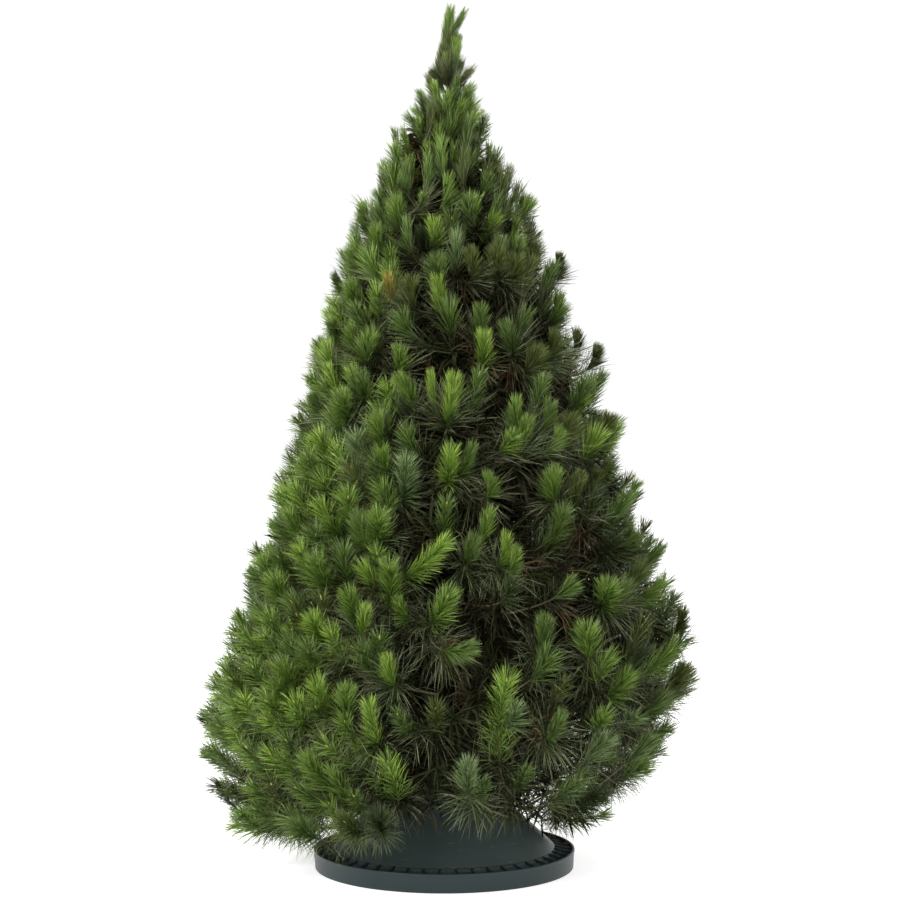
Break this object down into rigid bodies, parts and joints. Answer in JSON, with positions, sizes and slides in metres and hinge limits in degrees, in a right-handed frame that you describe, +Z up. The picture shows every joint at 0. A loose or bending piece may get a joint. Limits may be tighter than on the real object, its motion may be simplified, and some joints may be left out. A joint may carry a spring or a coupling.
{
  "type": "cut pine tree in a stand",
  "caption": "Sheared cut pine with a dense cone of long-needled foliage, held upright by clamp screws in a round plastic stand.",
  "frame": {"origin": "middle of the stand's flat underside, on the ground", "axes": "+Z up along the trunk, -Y towards the front, +X to the right of someone who faces the front"},
  "size_m": [1.167, 1.1585, 2],
  "materials": {
    "bark": "matte",
    "needles": "matte",
    "stand": "satin",
    "steel": "satin"
  },
  "bodies": {
    "root": {"stand_tray": "stand", "stand_dome": "stand", "clamp_screw_1": "steel", "clamp_screw_2": "steel", "clamp_screw_3": "steel", "trunk": "bark", "bough_1_1": "bark", "mass_1_1": "needles", "bough_1_2": "bark", "mass_1_2": "needles", "bough_1_3": "bark", "mass_1_3": "needles", "bough_1_4": "bark", "mass_1_4": "needles", "bough_1_5": "bark", "mass_1_5": "needles", "bough_1_6": "bark", "mass_1_6": "needles", "bough_2_1": "bark", "mass_2_1": "needles", "bough_2_2": "bark", "mass_2_2": "needles", "bough_2_3": "bark", "mass_2_3": "needles", "bough_2_4": "bark", "mass_2_4": "needles", "bough_2_5": "bark", "mass_2_5": "needles", "bough_2_6": "bark", "mass_2_6": "needles", "bough_3_1": "bark", "mass_3_1": "needles", "bough_3_2": "bark", "mass_3_2": "needles", "bough_3_3": "bark", "mass_3_3": "needles", "bough_3_4": "bark", "mass_3_4": "needles", "bough_3_5": "bark", "mass_3_5": "needles", "bough_4_1": "bark", "mass_4_1": "needles", "bough_4_2": "bark", "mass_4_2": "needles", "bough_4_3": "bark", "mass_4_3": "needles", "bough_4_4": "bark", "mass_4_4": "needles", "bough_5_1": "bark", "mass_5_1": "needles", "bough_5_2": "bark", "mass_5_2": "needles", "bough_5_3": "bark", "mass_5_3": "needles", "mass_6_1": "needles", "mass_6_2": "needles", "mass_6_3": "needles", "mass_leader": "needles"}
  },
  "joints": []
}
